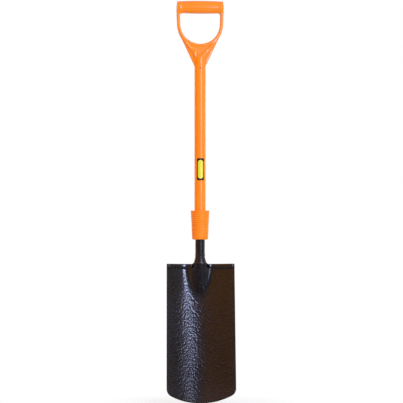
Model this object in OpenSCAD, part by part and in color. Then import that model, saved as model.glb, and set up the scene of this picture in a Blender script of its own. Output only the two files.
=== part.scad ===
// Insulated trenching spade: a dished steel blade with welded treads, a forged shank,
// a steel shaft tube in an insulating sheath, a cone collar and a moulded D handle.
// Millimetres. The shaft runs along Z with the handle up, and the dish faces -Y.

/* [Blade] */
// Length of the blade from its top edge to the tip
blade_len = 358; // [280:1:420]
// Width of the blade at its top edge
blade_top_w = 175; // [150:1:200]
// Width of the blade at its lower corners
blade_foot_w = 179; // [150:1:200]
// Thickness of the plate
blade_t = 3; // [2:0.1:5]
// Radius of the dish across the blade
dish_r = 190; // [160:1:300]
// Radius of the curved cutting edge, seen from the front
edge_r = 170; // [130:1:260]
// Rounding of the two lower corners
corner_r = 22; // [5:0.5:30]
// Thickness that the plate thins to at the tip
edge_t = 1.2; // [0.8:0.1:2]
// Height over which the plate thins towards the tip
edge_taper = 45; // [20:1:80]
// Forward lean of the blade from the line of the shaft, in degrees
lift = 4; // [0:0.5:8]
// Distance of the plate's front face behind the shaft axis
blade_set_back = 3; // [0:0.5:6]

/* [Treads] */
// Height of the tread bars
tread_h = 11; // [8:0.5:16]
// Depth of the tread bars in front of the plate
tread_d = 8; // [6:0.5:14]
// Rounding of the front edges of the tread bars
tread_round = 3; // [1:0.25:3.5]
// Distance of the outer tread ends from the plate's side edges
tread_inset = 1.5; // [0.5:0.5:6]
// Distance of the inner tread ends from the shank
tread_gap = 1; // [0.5:0.5:6]
// Leg of the weld fillet under each tread
weld_leg = 2.5; // [1.5:0.25:4]
// Distance of the weld's ends from the ends of the tread
weld_inset = 6; // [2:0.5:15]

/* [Shank] */
// Height of the weld seam above the blade's top edge
shank_rise = 23; // [15:1:40]
// Width of the shank where it meets the blade's top edge
shoulder_w = 41; // [32:1:50]
// Length of the tongues that lie on the plate
tongue_len = 58; // [40:1:90]
// Amount that the shank's neck is wider than the shaft tube
neck_step = 0.8; // [0.2:0.1:2]
// Width of the butt weld between the shank and the tube
seam_w = 3; // [2:0.25:5]
// Height of the weld's crown above the tube
seam_crown = 0.8; // [0.4:0.1:1.2]
// Diameter of the cross pin in the shank
shank_pin_d = 6; // [4:0.5:8]
// Height of the cross pin above the foot of the sheath
shank_pin_rise = 14; // [8:1:30]
// Length of the shank's spigot above the cross pin
spigot_past_pin = 20; // [10:1:40]

/* [Shaft] */
// Outside diameter of the steel tube
tube_d = 24.5; // [22:0.1:28]
// Wall of the steel tube
tube_wall = 2.5; // [1.5:0.1:4]
// Wall of the insulating sheath
sheath_wall = 2.15; // [1.5:0.05:3]
// Length of sheath that shows between the collar and the handle
shaft_show = 355; // [200:1:600]

/* [Collar] */
// Height of the collar's foot above the blade's top edge
collar_rise = 63; // [45:1:100]
// Height of the collar
collar_h = 74.5; // [55:0.5:100]
// Diameter of the collar at its top
collar_top_d = 48.5; // [42:0.5:60]
// Diameter of the collar at its foot
collar_foot_d = 40.5; // [36:0.5:56]
// Rounding of the collar's foot
collar_foot_round = 4; // [1:0.25:5]
// Rounding of the collar's top lip
collar_lip_round = 1.5; // [0.5:0.25:3]
// Height inside the collar at which the sheath stands
collar_ledge = 20; // [10:1:35]
// Height of the plain part of the collar below its grip rings
collar_plain = 26; // [8:0.5:40]
// Distance from one grip ring to the next
ring_pitch = 5.2; // [4:0.1:8]
// Width of a groove between the grip rings
ring_groove_w = 3.6; // [1:0.1:3.8]
// Depth of the grooves between the grip rings
ring_depth = 0.4; // [0.2:0.05:0.8]

/* [Handle] */
// Width of the hand opening
opening_w = 103; // [85:1:125]
// Height of the hand opening
opening_h = 78; // [70:1:100]
// Thickness of the arms, seen from the front
arm_t = 7.7; // [6:0.1:12]
// Depth of the arms from front to back
arm_depth = 22; // [16:0.5:26]
// Diameter of the grip in the middle
grip_d = 33; // [28:0.5:38]
// Height of the grip's crown in the middle above its ends
grip_crown = 2.5; // [0.5:0.25:4]
// Bevel of the grip's two ends
grip_bevel = 2; // [1:0.25:4]
// Height of the straight skirt below the webs
skirt_len = 17; // [10:1:25]
// Depth that the shaft tube goes into the handle
tube_seat = 40; // [28:1:60]
// Wall of the round body above the end of the tube
seat_wall = 3; // [2:0.5:8]
// Height of the opening's crotch above the round body
crotch_rise = 31; // [24:1:50]
// Thickness of the webs between the body and the arms
web_t = 12; // [8:0.5:16]
// Radius of the hollow curve where the body swells into the arms
throat_r = 46; // [35:1:60]
// Diameter of the pin that holds the handle on the tube
handle_pin_d = 5; // [3:0.5:6]
// Height of that pin above the foot of the skirt
handle_pin_rise = 12; // [6:0.5:20]
// Depth of the pin's ends below the surface of the skirt
handle_pin_sink = 0.4; // [0.2:0.1:1]

/* [Label] */
// Height of the label
label_h = 56.5; // [30:0.5:80]
// Width of the label, measured round the shaft
label_w = 19; // [10:0.5:30]
// Thickness of the label
label_t = 0.3; // [0.2:0.05:0.6]
// Rounding of the label's corners
label_round = 2; // [0.5:0.25:4]
// Height of the label above the collar
label_rise = 78; // [20:1:250]

/* [Fits] */
// Clearance all round between pieces that slide together
fit_gap = 0.1; // [0.05:0.05:0.3]
// Clearance all round the cross pins
pin_gap = 0.05; // [0.02:0.01:0.1]

/* [Hidden] */
$fn = 96;
over = 1;             // how far a cutting shape runs past what it cuts
dish_fn = 240;        // sides of the wide dish circles
crown_fn = 2000;      // sides of the grip's very wide crown circle
edge_steps = 24;      // steps along each half of the cutting edge
corner_steps = 10;    // steps round each lower corner of the blade
round_steps = 6;      // steps in a rounded corner of the collar
ring_sides = 48;      // sides of a ring of the shank
flare_rings = 9;      // rings of the shank above the blade's top edge
tongue_rings = 14;    // rings of the shank along the tongues
flare_power = 3;      // how late the neck flares out to the shoulder
tongue_power = 2.6;   // how square the tongues are before their tip
tip_share = 0.999;    // share of the tongues' length at which their last ring lies

function dot2(a, b) = a[0] * b[0] + a[1] * b[1];
function flip(p) = [-p[0], p[1]];
function heading(v) = atan2(v[1], v[0]);
function sag(r, half_w) = r - sqrt(r * r - half_w * half_w);
function bulge_r(half_w, rise) = (half_w * half_w + rise * rise) / (2 * rise);
function arc(centre, r, from_a, to_a, steps) =
    [for (i = [0 : steps]) let (a = from_a + (to_a - from_a) * i / steps) centre + r * [cos(a), sin(a)]];

// Shaft and its fits
tube_r = tube_d / 2;
tube_in_r = tube_r - tube_wall;
spigot_r = tube_in_r - fit_gap;
sheath_in_r = tube_r + fit_gap;
sheath_r = sheath_in_r + sheath_wall;
neck_r = tube_r + neck_step / 2;

// Blade outline: side line, cutting edge circle and the corner circle that touches both
side_top = [blade_top_w / 2, 0];
side_foot = [blade_foot_w / 2, -blade_len + sag(edge_r, blade_foot_w / 2)];
side_dir = (side_foot - side_top) / norm(side_foot - side_top);
side_in = [side_dir[1], -side_dir[0]];
edge_centre = [0, -blade_len + edge_r];
corner_reach = edge_r - corner_r;
corner_from = side_top + corner_r * side_in - edge_centre;
corner_back = dot2(corner_from, side_dir);
corner_clear = pow(corner_reach, 2) - dot2(corner_from, corner_from);
corner_along = sqrt(pow(corner_back, 2) + corner_clear) - corner_back;
corner_top = side_top + corner_along * side_dir;
corner_centre = corner_top + corner_r * side_in;
edge_ray = (corner_centre - edge_centre) / corner_reach;

// Heights, from the tip upwards
blade_top_z = blade_len * cos(lift) + (blade_set_back + edge_t) * sin(lift);
seam_z = blade_top_z + shank_rise;
tube_foot_z = seam_z + seam_w;
collar_z = blade_top_z + collar_rise;
ledge_z = collar_z + collar_ledge;
shank_pin_z = ledge_z + shank_pin_rise;
spigot_top_z = shank_pin_z + spigot_past_pin;
collar_top_z = collar_z + collar_h;
label_z = collar_top_z + label_rise;
handle_z = collar_top_z + shaft_show;
handle_pin_z = handle_z + handle_pin_rise;
tube_top_z = handle_z + tube_seat;
web_z = handle_z + skirt_len;
body_z = tube_top_z + seat_wall;
crotch_z = body_z + crotch_rise;
bow_z = crotch_z + opening_w / 2;
grip_z = crotch_z + opening_h + grip_d / 2;

// The dish's axis, and the shaft's place in the middle of the spade's depth
dish_y = blade_set_back - dish_r;
plate_mid_y = blade_set_back + blade_t / 2;
corner_y = blade_set_back - sag(dish_r, corner_top[0]);
front_reach = -corner_y * cos(lift) - corner_top[1] * sin(lift);
back_reach = collar_top_d / 2;
shaft_y = (front_reach - back_reach) / 2;

// Treads and their welds, as angles round the dish's axis
tread_start_a = asin((shoulder_w / 2 + tread_gap) / (dish_r - tread_d));
tread_end_a = asin((blade_top_w / 2 - tread_inset) / dish_r);
weld_inset_a = asin(weld_inset / dish_r);

// Shank, as a list of rings from the seam down to the tip of the tongues
function ellipse_ring(half_w, half_d, mid_y, z) =
    [for (i = [0 : ring_sides - 1]) let (a = 360 * i / ring_sides)
        [half_w * cos(a), mid_y + half_d * sin(a), z]];
function lean(p) = [p[0], p[1] * cos(lift) + p[2] * sin(lift), -p[1] * sin(lift) + p[2] * cos(lift)];
function flare_ring(share) =
    let (half_w = neck_r + (shoulder_w / 2 - neck_r) * pow(share, flare_power))
    ellipse_ring(half_w, neck_r, 0, shank_rise * (1 - share));
function tongue_ring(share) =
    let (half_w = shoulder_w / 2 * sqrt(1 - pow(share, tongue_power)))
    let (half_d = blade_t / 2 + (neck_r - blade_t / 2) * (1 - share))
    [for (p = ellipse_ring(half_w, half_d, plate_mid_y * share, -tongue_len * share)) lean(p)];
shank_rings = concat(
    [for (i = [0 : flare_rings]) flare_ring(i / flare_rings)],
    [for (i = [1 : tongue_rings]) tongue_ring(tip_share * i / tongue_rings)]);

// Crown of the weld round the seam
seam_crown_r = bulge_r(seam_w / 2, seam_crown);

// Collar, as a profile of radius and height
function collar_r(z) = (collar_foot_d + (collar_top_d - collar_foot_d) * z / collar_h) / 2;
foot_centre = [collar_r(collar_foot_round) - collar_foot_round, collar_foot_round];
lip_centre = [collar_r(collar_h) - collar_lip_round, collar_h - collar_lip_round];
ring_top_z = lip_centre[1] - ring_pitch;
ring_last = floor((ring_top_z - collar_plain) / ring_pitch);
groove_half = ring_groove_w / 2;
collar_side = [for (i = [ring_last : -1 : 0]) let (z = ring_top_z - i * ring_pitch)
    each [[collar_r(z - groove_half), z - groove_half],
        [collar_r(z) - ring_depth, z],
        [collar_r(z + groove_half), z + groove_half]]];

// Handle: the arms' circles, and the webs' outer lines that touch them
bow_in_r = opening_w / 2;
bow_mid_r = bow_in_r + arm_t / 2;
bow_out_r = bow_in_r + arm_t;
web_foot = [sheath_r, web_z];
web_drop = web_foot - [0, bow_z];
web_touch_a = heading(web_drop) + acos(bow_out_r / norm(web_drop));
web_touch = [0, bow_z] + bow_out_r * [cos(web_touch_a), sin(web_touch_a)];
grip_end_r = grip_d / 2 - grip_crown;
crown_r = bulge_r(bow_out_r, grip_crown);

// Label, as wide as it looks from the front
label_face_w = 2 * sheath_r * sin(label_w / 2 / sheath_r * 180 / PI);

// Places: along the shaft, on the leaning blade with its top edge at z = 0, and round the dish's axis
module on_shaft(z = 0) { translate([0, shaft_y, z]) children(); }

module on_blade() { on_shaft(blade_top_z) rotate([-lift, 0, 0]) children(); }

module on_dish() { on_blade() translate([0, dish_y, 0]) children(); }

// An outline drawn in X and Z, made as thick as depth about the shaft's own plane
module upright(depth) { rotate([90, 0, 0]) linear_extrude(height = depth, center = true) children(); }

// A round bar or hole across the shaft, from side to side or from front to back
module across(d, len) { rotate([0, 90, 0]) cylinder(d = d, h = len, center = true); }

module front_to_back(d, len) { rotate([90, 0, 0]) cylinder(d = d, h = len, center = true); }

// Blade
module blade_outline() {
    half = concat([side_top],
        arc(corner_centre, corner_r, heading(-side_in), heading(edge_ray), corner_steps),
        arc(edge_centre, edge_r, heading(edge_ray), -90, edge_steps));
    polygon(concat(half, [for (i = [len(half) - 2 : -1 : 0]) flip(half[i])]));
}

module dish_sheet() {
    thin_r = dish_r + edge_t - over * (blade_t - edge_t) / edge_taper;
    full_r = dish_r + blade_t;
    full_len = blade_len - edge_taper;
    difference() {
        union() {
            translate([0, 0, -over]) cylinder(r1 = thin_r, r2 = full_r, h = edge_taper + over, $fn = dish_fn);
            translate([0, 0, edge_taper]) cylinder(r = full_r, h = full_len + over, $fn = dish_fn);
        }
        translate([0, 0, -2 * over]) cylinder(r = dish_r, h = blade_len + 4 * over, $fn = dish_fn);
    }
}

module plate() {
    intersection() {
        translate([0, dish_y, -blade_len]) dish_sheet();
        upright(dish_r) blade_outline();
    }
}

module blade() { color("#2b2829") on_blade() plate(); }

// Treads, bars rolled to the dish and welded to its front face
module round_dish(from_a, to_a) {
    rotate(90 - to_a) rotate_extrude(angle = to_a - from_a, $fn = dish_fn) children();
}

module tread_section() {
    translate([dish_r - tread_d, -tread_h]) {
        translate([tread_round, 0]) square([tread_d - tread_round, tread_h]);
        translate([0, tread_round]) square([tread_d, tread_h - 2 * tread_round]);
        for (z = [tread_round, tread_h - tread_round]) translate([tread_round, z]) circle(r = tread_round);
    }
}

module tread() { round_dish(tread_start_a, tread_end_a) tread_section(); }

module tread_left() { color("#252223") on_dish() mirror([1, 0, 0]) tread(); }

module tread_right() { color("#252223") on_dish() tread(); }

module tread_weld() {
    round_dish(tread_start_a + weld_inset_a, tread_end_a - weld_inset_a)
        polygon([[dish_r, -tread_h], [dish_r - weld_leg, -tread_h], [dish_r, -tread_h - weld_leg]]);
}

module tread_welds() {
    color("#1f1d1e") on_dish() {
        tread_weld();
        mirror([1, 0, 0]) tread_weld();
    }
}

// Shank: a round neck that flares to the shoulders, tongues that straddle the plate and a spigot for the tube
module loft(rings) {
    sides = len(rings[0]);
    last = len(rings) - 1;
    polyhedron(
        points = [for (ring = rings) each ring],
        faces = concat(
            [[for (i = [sides - 1 : -1 : 0]) i]],
            [for (k = [0 : last - 1], i = [0 : sides - 1]) let (j = (i + 1) % sides)
                each [[k * sides + i, k * sides + j, (k + 1) * sides + i],
                    [k * sides + j, (k + 1) * sides + j, (k + 1) * sides + i]]],
            [[for (i = [0 : sides - 1]) last * sides + i]]));
}

module shank() {
    color("#2b2829") difference() {
        union() {
            on_shaft(blade_top_z) loft(shank_rings);
            on_shaft(seam_z - over) cylinder(r = spigot_r, h = spigot_top_z - seam_z + over);
        }
        on_blade() plate();
        on_shaft(shank_pin_z) across(shank_pin_d + 2 * pin_gap, 2 * tube_d);
    }
}

module shank_weld() {
    color("#1f1d1e") on_shaft(seam_z) rotate_extrude() {
        translate([spigot_r, 0]) square([tube_r - spigot_r, seam_w]);
        intersection() {
            translate([tube_r + seam_crown - seam_crown_r, seam_w / 2]) circle(r = seam_crown_r);
            translate([tube_r - over, 0]) square([over + seam_crown, seam_w]);
        }
    }
}

module shank_pin() {
    color("#9a9ca0") on_shaft(shank_pin_z) intersection() {
        across(shank_pin_d, tube_d);
        cylinder(r = tube_r, h = 2 * shank_pin_d, center = true);
    }
}

// Shaft
module shaft_tube() {
    color("#2b2829") difference() {
        on_shaft(tube_foot_z) cylinder(r = tube_r, h = tube_top_z - tube_foot_z);
        on_shaft(tube_foot_z - over) cylinder(r = tube_in_r, h = tube_top_z - tube_foot_z + 2 * over);
        on_shaft(shank_pin_z) across(shank_pin_d + 2 * pin_gap, 2 * tube_d);
        on_shaft(handle_pin_z) front_to_back(handle_pin_d + 2 * pin_gap, 2 * tube_d);
    }
}

module sheath() {
    color("#fd8a1f") difference() {
        on_shaft(ledge_z) cylinder(r = sheath_r, h = handle_z - ledge_z);
        on_shaft(ledge_z - over) cylinder(r = sheath_in_r, h = handle_z - ledge_z + 2 * over);
    }
}

// Collar: a turned cone with grip rings, a ledge for the sheath and a bore for the tube
module collar() {
    seat_r = sheath_r + fit_gap;
    color("#fb8420") on_shaft(collar_z) rotate_extrude() polygon(concat(
        [[sheath_in_r, 0]],
        arc(foot_centre, collar_foot_round, -90, 0, round_steps),
        collar_side,
        arc(lip_centre, collar_lip_round, 0, 90, round_steps),
        [[seat_r, collar_h], [seat_r, collar_ledge], [sheath_in_r, collar_ledge]]));
}

// Handle: arms in one bow, a crowned grip, webs, and a round body that takes the tube
module arm_section() {
    square([arm_t, arm_depth - arm_t], center = true);
    for (end = [-1, 1]) translate([0, end * (arm_depth - arm_t) / 2]) circle(d = arm_t);
}

module bow() {
    translate([0, 0, bow_z]) rotate([90, 0, 0]) rotate(180)
        rotate_extrude(angle = 180) translate([bow_mid_r, 0]) arm_section();
    for (side = [-1, 1])
        translate([side * bow_mid_r, 0, bow_z]) linear_extrude(height = grip_z - bow_z) arm_section();
}

module grip() {
    full_r = grip_end_r + grip_crown;
    bevel_end = bow_out_r - grip_bevel - grip_crown;
    translate([0, 0, grip_z]) rotate([0, 90, 0]) rotate_extrude() intersection() {
        translate([full_r - crown_r, 0]) circle(r = crown_r, $fn = crown_fn);
        polygon([[0, -bow_out_r], [grip_end_r - grip_bevel, -bow_out_r], [full_r, -bevel_end],
            [full_r, bevel_end], [grip_end_r - grip_bevel, bow_out_r], [0, bow_out_r]]);
    }
}

module yoke_outline() {
    difference() {
        polygon([flip(web_foot), web_foot, web_touch, flip(web_touch)]);
        translate([0, bow_z]) circle(r = bow_mid_r);
    }
}

module body_outline() {
    difference() {
        intersection() {
            yoke_outline();
            translate([-bow_out_r, body_z]) square([2 * bow_out_r, bow_z - body_z]);
        }
        for (side = [-1, 1]) translate([side * (sheath_r + throat_r), body_z]) circle(r = throat_r);
    }
}

module d_handle() {
    color("#fd8a1f") difference() {
        on_shaft() {
            bow();
            grip();
            upright(web_t) yoke_outline();
            upright(arm_depth) body_outline();
            translate([0, 0, handle_z]) cylinder(r = sheath_r, h = body_z - handle_z);
            translate([0, 0, body_z]) cylinder(r1 = sheath_r, r2 = (arm_depth - arm_t) / 2, h = crotch_rise);
        }
        on_shaft(handle_z - over) cylinder(r = sheath_in_r, h = tube_seat + over);
        on_shaft(handle_pin_z) front_to_back(handle_pin_d + 2 * pin_gap, 4 * sheath_r);
    }
}

module handle_pin() {
    color("#d9591a") on_shaft(handle_pin_z) front_to_back(handle_pin_d, 2 * (sheath_r - handle_pin_sink));
}

// Label, a plain sticker on the front of the sheath
module label_outline() {
    inner_w = label_face_w - 2 * label_round;
    inner_h = label_h - 2 * label_round;
    square([inner_w, label_h], center = true);
    square([label_face_w, inner_h], center = true);
    for (x = [-1, 1], z = [-1, 1]) translate([x * inner_w / 2, z * inner_h / 2]) circle(r = label_round);
}

module label() {
    color("#f2e22c") on_shaft(label_z) intersection() {
        difference() {
            cylinder(r = sheath_r + label_t, h = label_h);
            translate([0, 0, -over]) cylinder(r = sheath_r, h = label_h + 2 * over);
        }
        translate([0, -sheath_r, label_h / 2]) upright(2 * sheath_r) label_outline();
    }
}

blade();
tread_left();
tread_right();
tread_welds();
shank();
shank_weld();
shank_pin();
shaft_tube();
sheath();
collar();
d_handle();
handle_pin();
label();
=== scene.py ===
import math
import bpy
import numpy as np
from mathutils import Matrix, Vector


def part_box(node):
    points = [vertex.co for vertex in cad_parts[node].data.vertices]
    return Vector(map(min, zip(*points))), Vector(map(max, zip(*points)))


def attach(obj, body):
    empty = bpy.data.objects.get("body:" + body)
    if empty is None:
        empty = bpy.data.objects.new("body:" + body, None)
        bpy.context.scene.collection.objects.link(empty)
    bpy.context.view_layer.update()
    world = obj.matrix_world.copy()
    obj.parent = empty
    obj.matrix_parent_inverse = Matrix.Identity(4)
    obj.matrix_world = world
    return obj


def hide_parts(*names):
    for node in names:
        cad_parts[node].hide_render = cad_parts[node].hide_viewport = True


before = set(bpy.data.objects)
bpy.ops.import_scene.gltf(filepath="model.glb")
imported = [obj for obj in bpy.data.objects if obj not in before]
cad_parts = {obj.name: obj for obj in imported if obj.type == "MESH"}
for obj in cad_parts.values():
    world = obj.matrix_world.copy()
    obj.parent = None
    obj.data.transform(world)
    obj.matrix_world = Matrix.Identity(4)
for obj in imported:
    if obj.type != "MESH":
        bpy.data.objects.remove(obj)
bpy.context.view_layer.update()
print("stage: frame loaded")

mm = 0.001


def boxOf(node):  # low and high corner of a CAD node, in mm
    low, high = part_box(node)
    return np.array(low) / mm, np.array(high) / mm


sheathLow, sheathHigh = boxOf("sheath")
shaftY = (sheathLow[1] + sheathHigh[1]) / 2
sheathRadius = (sheathHigh[0] - sheathLow[0]) / 2
seamFoot, seamTop = boxOf("shank_weld")
spigotTop = boxOf("shank")[1][2]
crossPinZ = sum(corner[2] for corner in boxOf("shank_pin")) / 2
collarLow, collarHigh = boxOf("collar")
handleLow, handleHigh = boxOf("d_handle")
labelLow, labelHigh = boxOf("label")
pinLow, pinHigh = boxOf("handle_pin")


# Mesh helpers

def addObject(name, data):
    holder = bpy.data.objects.new(name, data)
    bpy.context.scene.collection.objects.link(holder)
    return holder


def newPiece(name, points, faces, material, slotName, nodes=()):  # points in mm
    mesh = bpy.data.meshes.new(name)
    mesh.from_pydata((np.asarray(points) * mm).tolist(), [], [list(map(int, face)) for face in faces])
    mesh.polygons.foreach_set("use_smooth", [True] * len(mesh.polygons))
    mesh.materials.append(material)
    mesh.update()
    piece = addObject(name, mesh)
    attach(piece, "root")
    if nodes:
        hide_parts(*nodes)


def fullTurn(sides):  # equal steps round a circle
    return np.linspace(0, 2 * math.pi, sides, endpoint=False)


def stripFaces(rings, count):  # quads between closed rings of that many points
    faces = []
    for ring in range(rings - 1):
        for i in range(count):
            j = (i + 1) % count
            a, b = ring * count, (ring + 1) * count
            faces.append((a + i, a + j, b + j, b + i))
    return faces


def loopFaces(rings, count):  # the same, with the last ring joined to the first
    last = (rings - 1) * count
    join = [(last + i, last + (i + 1) % count, (i + 1) % count, i) for i in range(count)]
    return stripFaces(rings, count) + join


def gridRim(rows, columns):  # the outermost points of a grid, in order round it
    rim = list(range(columns))
    rim += [row * columns + columns - 1 for row in range(1, rows)]
    rim += [(rows - 1) * columns + column for column in range(columns - 2, -1, -1)]
    return rim + [row * columns for row in range(rows - 2, 0, -1)]


def lathe(profile, sides):  # closed profile of (radius, z), turned round the shaft's axis
    turn = fullTurn(sides)
    rings = []
    for radius, z in np.asarray(profile, float):
        rings.append(np.stack([radius * np.cos(turn), radius * np.sin(turn) + shaftY, np.full(sides, z)], 1))
    return np.concatenate(rings), loopFaces(len(rings), sides)


def sweep(sections):  # closed sections along a path, capped at both ends
    sections = [np.asarray(section, float) for section in sections]
    count = len(sections[0])
    faces = stripFaces(len(sections), count)
    faces.append(tuple(range(count - 1, -1, -1)))
    faces.append(tuple((len(sections) - 1) * count + i for i in range(count)))
    return np.concatenate(sections), faces


def arcPoints(centre, radius, fromAngle, toAngle, steps):
    turn = np.radians(np.linspace(fromAngle, toAngle, steps + 1))
    return np.stack([centre[0] + radius * np.cos(turn), centre[1] + radius * np.sin(turn)], 1)


def smoothMin(a, b, reach):
    share = np.clip(0.5 + 0.5 * (b - a) / reach, 0, 1)
    return b * (1 - share) + a * share - reach * share * (1 - share)


def smoothMax(a, b, reach):
    return -smoothMin(-a, -b, reach)


def slabOf(flat, depth, rounding):  # a flat outline made thick, with rounded edges
    a, b = flat + rounding, depth + rounding
    return np.minimum(np.maximum(a, b), 0) + np.hypot(np.maximum(a, 0), np.maximum(b, 0)) - rounding


fieldMesh = {"valleyDepth": 0.001, "probe": 0.05, "settles": 3, "leastSlope": 0.25, "meetGap": 0.01}


# Fills a valley finer than the grid, where two sheets of the surface would share an edge
def closeValleys(value, depth=fieldMesh["valleyDepth"]):
    met = True
    while met:
        met = False
        for axis in range(3):
            corners = []
            for a, b in ((0, 0), (0, 1), (1, 1), (1, 0)):
                part = [slice(None)] * 3
                part[(axis + 1) % 3] = slice(1, None) if a else slice(None, -1)
                part[(axis + 2) % 3] = slice(1, None) if b else slice(None, -1)
                corners.append(value[tuple(part)])
            inside = [corner < 0 for corner in corners]
            meet = (inside[0] == inside[2]) & (inside[1] == inside[3]) & (inside[0] != inside[1])
            for corner in corners:
                corner[meet & (corner >= 0)] = -depth
            met = met or meet.any()


def cellPoints(value, low, step):  # one point for each cell that the surface crosses, and its number
    cells = np.array(value.shape) - 1
    total = np.zeros((*cells, 3))
    hits = np.zeros(cells)
    for axis in range(3):
        first, second = (axis + 1) % 3, (axis + 2) % 3
        for a, b in ((0, 0), (0, 1), (1, 0), (1, 1)):
            start = np.zeros(3, int)
            start[first], start[second] = a, b
            end = start.copy()
            end[axis] = 1
            here = value[tuple(slice(start[k], start[k] + cells[k]) for k in range(3))]
            there = value[tuple(slice(end[k], end[k] + cells[k]) for k in range(3))]
            cross = (here < 0) != (there < 0)
            share = np.where(cross, here / np.where(cross, here - there, 1), 0)
            hits += cross
            total[..., first] += cross * a
            total[..., second] += cross * b
            total[..., axis] += cross * share
    active = hits > 0
    index = np.full(cells, -1)
    index[active] = np.arange(active.sum())
    return low + step * (np.argwhere(active) + total[active] / hits[active][:, None]), index


def cellFaces(inside, index):  # a quad between the four cells round each crossed edge of the grid
    cells = index.shape
    faces = []
    for axis in range(3):
        first, second = (axis + 1) % 3, (axis + 2) % 3
        along = [slice(None)] * 3
        along[axis] = slice(0, cells[axis])
        ahead = [slice(None)] * 3
        ahead[axis] = slice(1, cells[axis] + 1)
        leaving = inside[tuple(along)] & ~inside[tuple(ahead)]
        entering = ~inside[tuple(along)] & inside[tuple(ahead)]
        for crossing, outward in ((leaving, True), (entering, False)):
            spots = np.argwhere(crossing)
            spots = spots[(spots[:, first] > 0) & (spots[:, second] > 0)]
            spots = spots[(spots[:, first] < cells[first]) & (spots[:, second] < cells[second])]
            corners = []
            for a, b in ((1, 1), (0, 1), (0, 0), (1, 0)):
                spot = spots.copy()
                spot[:, first] -= a
                spot[:, second] -= b
                corners.append(index[spot[:, 0], spot[:, 1], spot[:, 2]])
            faces.append(np.stack(corners if outward else corners[::-1], 1))
    return np.concatenate(faces)


def settle(points, field, step, probe=fieldMesh["probe"]):  # moves the points onto the surface
    for _ in range(fieldMesh["settles"]):
        here = field(points)
        slope = np.stack([(field(points + probe * unit) - field(points - probe * unit)) / (2 * probe)
                          for unit in np.eye(3)], 1)
        move = here[:, None] * slope / np.maximum((slope ** 2).sum(1), fieldMesh["leastSlope"])[:, None]
        points = points - np.clip(move, -step / 2, step / 2)
    return points


def joinMet(points, faces):  # neighbours that met in a crease become one point
    same = np.arange(len(points))
    for corner in range(4):
        pair = np.sort(faces[:, [corner, (corner + 1) % 4]], 1)
        met = np.linalg.norm(points[pair[:, 0]] - points[pair[:, 1]], axis=1) < fieldMesh["meetGap"]
        same[pair[met, 1]] = pair[met, 0]
    used, corners = np.unique(same[faces], return_inverse=True)
    return points[used], [list(dict.fromkeys(face)) for face in corners.reshape(faces.shape).tolist()]


def meshOfField(field, low, high, step):  # surface of a distance field inside a box
    low = np.asarray(low, float)
    counts = np.ceil((np.asarray(high) - low) / step).astype(int) + 1
    axes = [low[i] + step * np.arange(counts[i]) for i in range(3)]
    grid = np.stack(np.meshgrid(*axes, indexing="ij"), -1)
    value = field(grid.reshape(-1, 3)).reshape(counts)
    closeValleys(value)
    points, index = cellPoints(value, low, step)
    return joinMet(settle(points, field, step), cellFaces(value < 0, index))


# Material helpers

def emptyMaterial(name):  # with the socket for its surface
    material = bpy.data.materials.new(name)
    material.use_nodes = True
    tree = material.node_tree
    tree.nodes.clear()
    return material, tree, tree.nodes.new("ShaderNodeOutputMaterial").inputs["Surface"]


def startMaterial(name):
    material, tree, surface = emptyMaterial(name)
    shader = tree.nodes.new("ShaderNodeBsdfPrincipled")
    tree.links.new(shader.outputs["BSDF"], surface)
    return material, tree, shader


def placeOf(tree, scale):
    place = tree.nodes.new("ShaderNodeTexCoord")
    mapping = tree.nodes.new("ShaderNodeMapping")
    mapping.inputs["Scale"].default_value = scale
    tree.links.new(place.outputs["Object"], mapping.inputs["Vector"])
    return mapping.outputs["Vector"]


def mathOf(tree, operation, first, second):
    step = tree.nodes.new("ShaderNodeMath")
    step.operation = operation
    for socket, value in zip(step.inputs, (first, second)):
        if isinstance(value, float):
            socket.default_value = value
        else:
            tree.links.new(value, socket)
    return step.outputs["Value"]


def noiseOf(tree, size, detail, stretch=(1, 1, 1), distort=0.0):  # size of the marks in mm
    noise = tree.nodes.new("ShaderNodeTexNoise")
    noise.inputs["Scale"].default_value = 1 / (size * mm)
    noise.inputs["Detail"].default_value = detail
    noise.inputs["Distortion"].default_value = distort
    tree.links.new(placeOf(tree, stretch), noise.inputs["Vector"])
    return noise.outputs["Fac"]


cellMarks = {"pushSize": 1.6, "pushDetail": 2.0, "smooth": 0.12, "power": 2.0}


def cellsOf(tree, size, warp, marks=cellMarks):  # rounded cells pushed about by noise, sizes in mm
    place = placeOf(tree, (1, 1, 1))
    noise = tree.nodes.new("ShaderNodeTexNoise")
    noise.inputs["Scale"].default_value = 1 / (marks["pushSize"] * size * mm)
    noise.inputs["Detail"].default_value = marks["pushDetail"]
    tree.links.new(place, noise.inputs["Vector"])
    push = tree.nodes.new("ShaderNodeVectorMath")
    push.operation = "MULTIPLY_ADD"
    push.inputs[1].default_value = (warp * mm,) * 3
    tree.links.new(noise.outputs["Color"], push.inputs[0])
    tree.links.new(place, push.inputs[2])
    cells = tree.nodes.new("ShaderNodeTexVoronoi")
    cells.feature = "SMOOTH_F1"
    cells.inputs["Scale"].default_value = 1 / (size * mm)
    cells.inputs["Smoothness"].default_value = marks["smooth"]
    tree.links.new(push.outputs["Vector"], cells.inputs["Vector"])
    return mathOf(tree, "POWER", cells.outputs["Distance"], marks["power"])


def rangeOf(tree, value, fromLow, fromHigh, toLow, toHigh):
    remap = tree.nodes.new("ShaderNodeMapRange")
    remap.interpolation_type = "SMOOTHSTEP"
    names = ("From Min", "From Max", "To Min", "To Max")
    for name, number in zip(names, (fromLow, fromHigh, toLow, toHigh)):
        remap.inputs[name].default_value = number
    tree.links.new(value, remap.inputs["Value"])
    return remap.outputs["Result"]


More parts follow.
